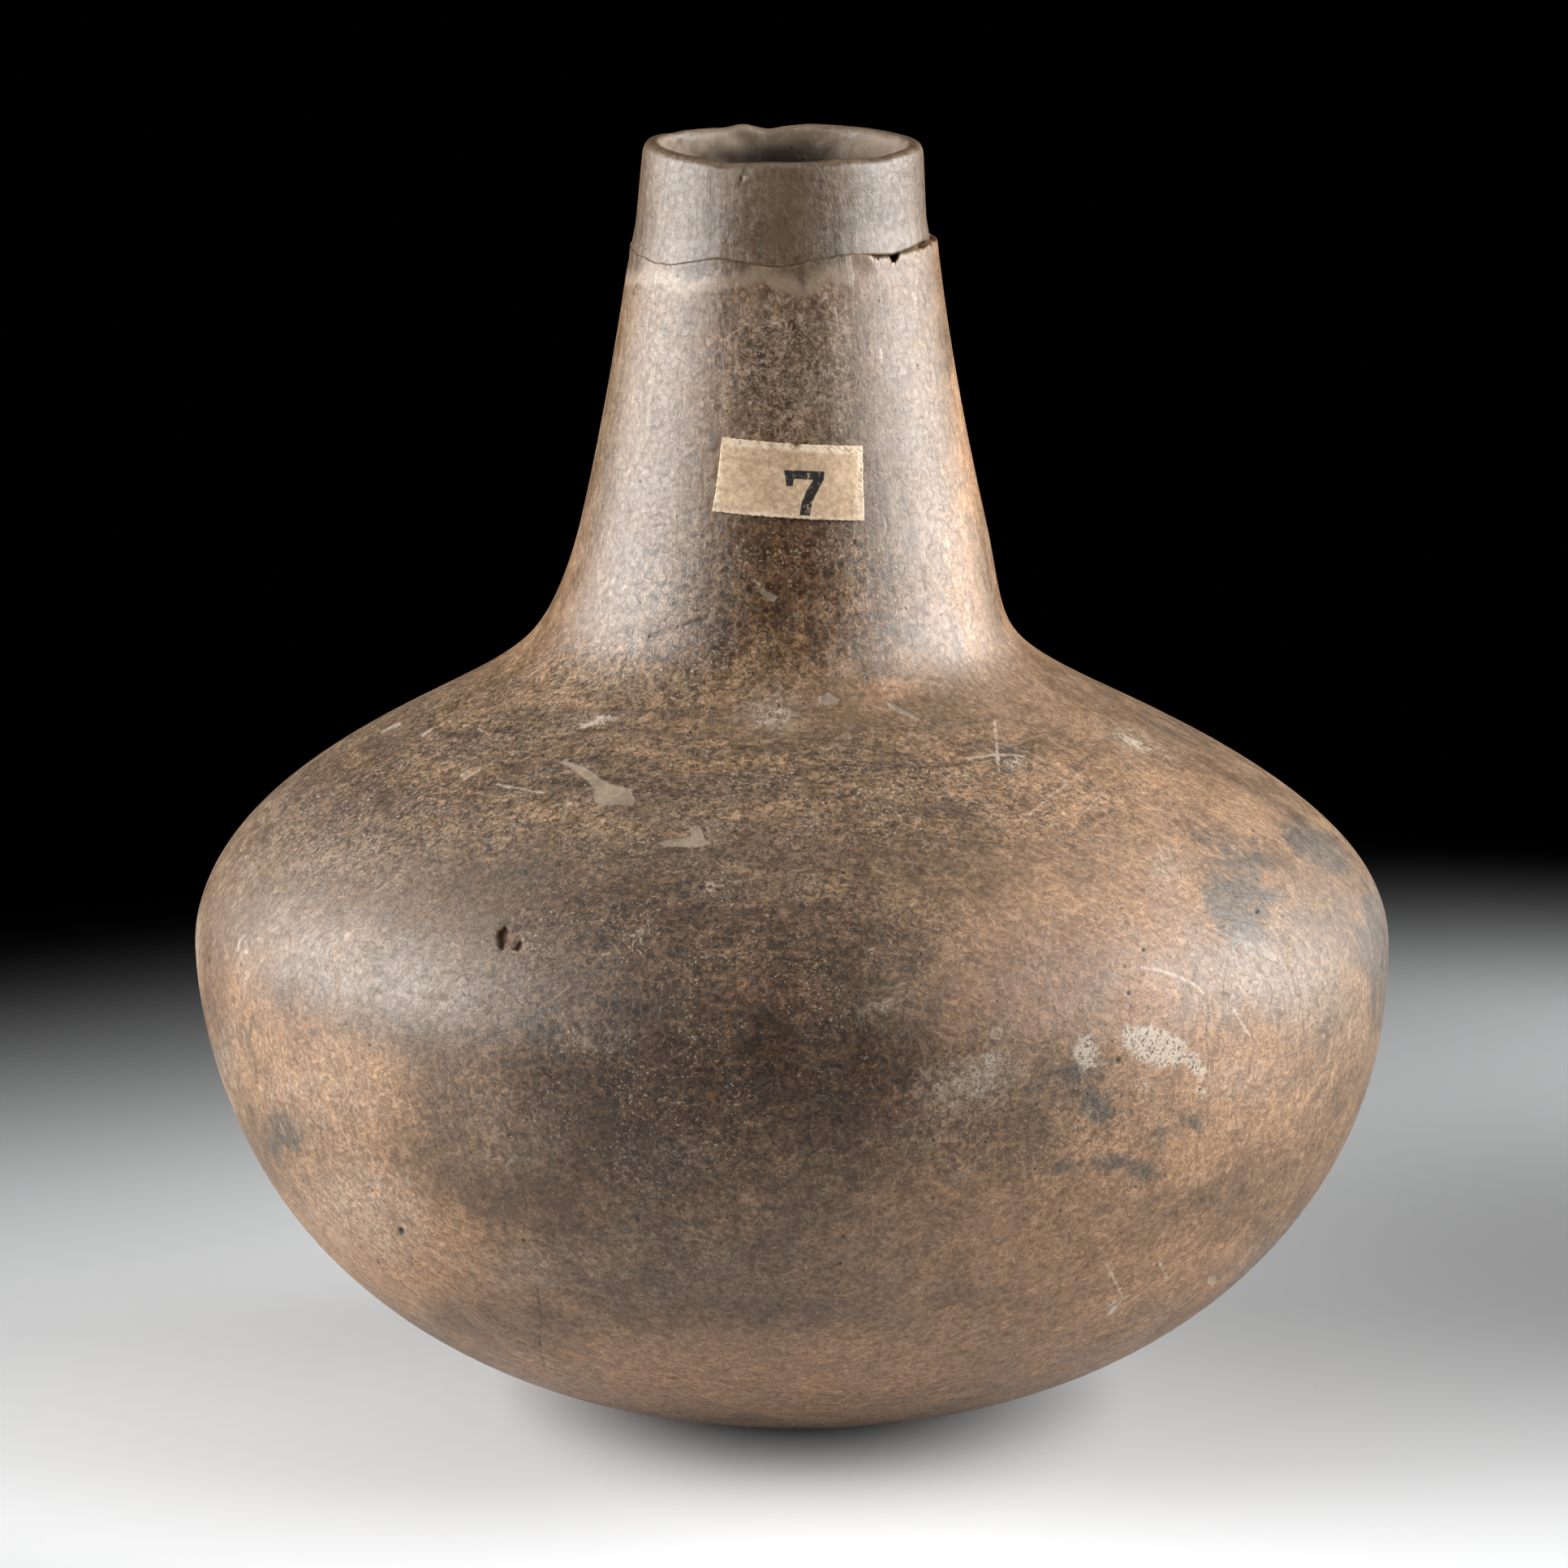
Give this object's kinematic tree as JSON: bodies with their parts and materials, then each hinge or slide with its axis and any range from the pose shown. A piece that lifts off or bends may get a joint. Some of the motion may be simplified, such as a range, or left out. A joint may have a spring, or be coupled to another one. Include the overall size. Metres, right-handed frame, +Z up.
{
  "type": "long-neck bottle",
  "caption": "Burnished earthenware bottle with a wide squat belly, a tall tapering neck with a refitted rim ring, and a small paper label.",
  "frame": {"origin": "middle of the flat underside, under the centre of the belly", "axes": "+Z up along the neck, -Y towards the front, where the label is, +X to the right seen from the front"},
  "size_m": [0.19, 0.1878, 0.2014],
  "materials": {
    "burnished_clay": "hand-burnished low-fired earthenware, tan to orange-brown with a dark fire cloud, fine speckle and pale deposits",
    "grey_clay": "smooth grey-brown fired clay, duller than the body",
    "aged_paper": "matte yellowed paper with worn edges and a plain numeral"
  },
  "bodies": {
    "root": {"bottle_body": "burnished_clay", "neck_ring": "grey_clay", "paper_label": "aged_paper"}
  },
  "joints": []
}
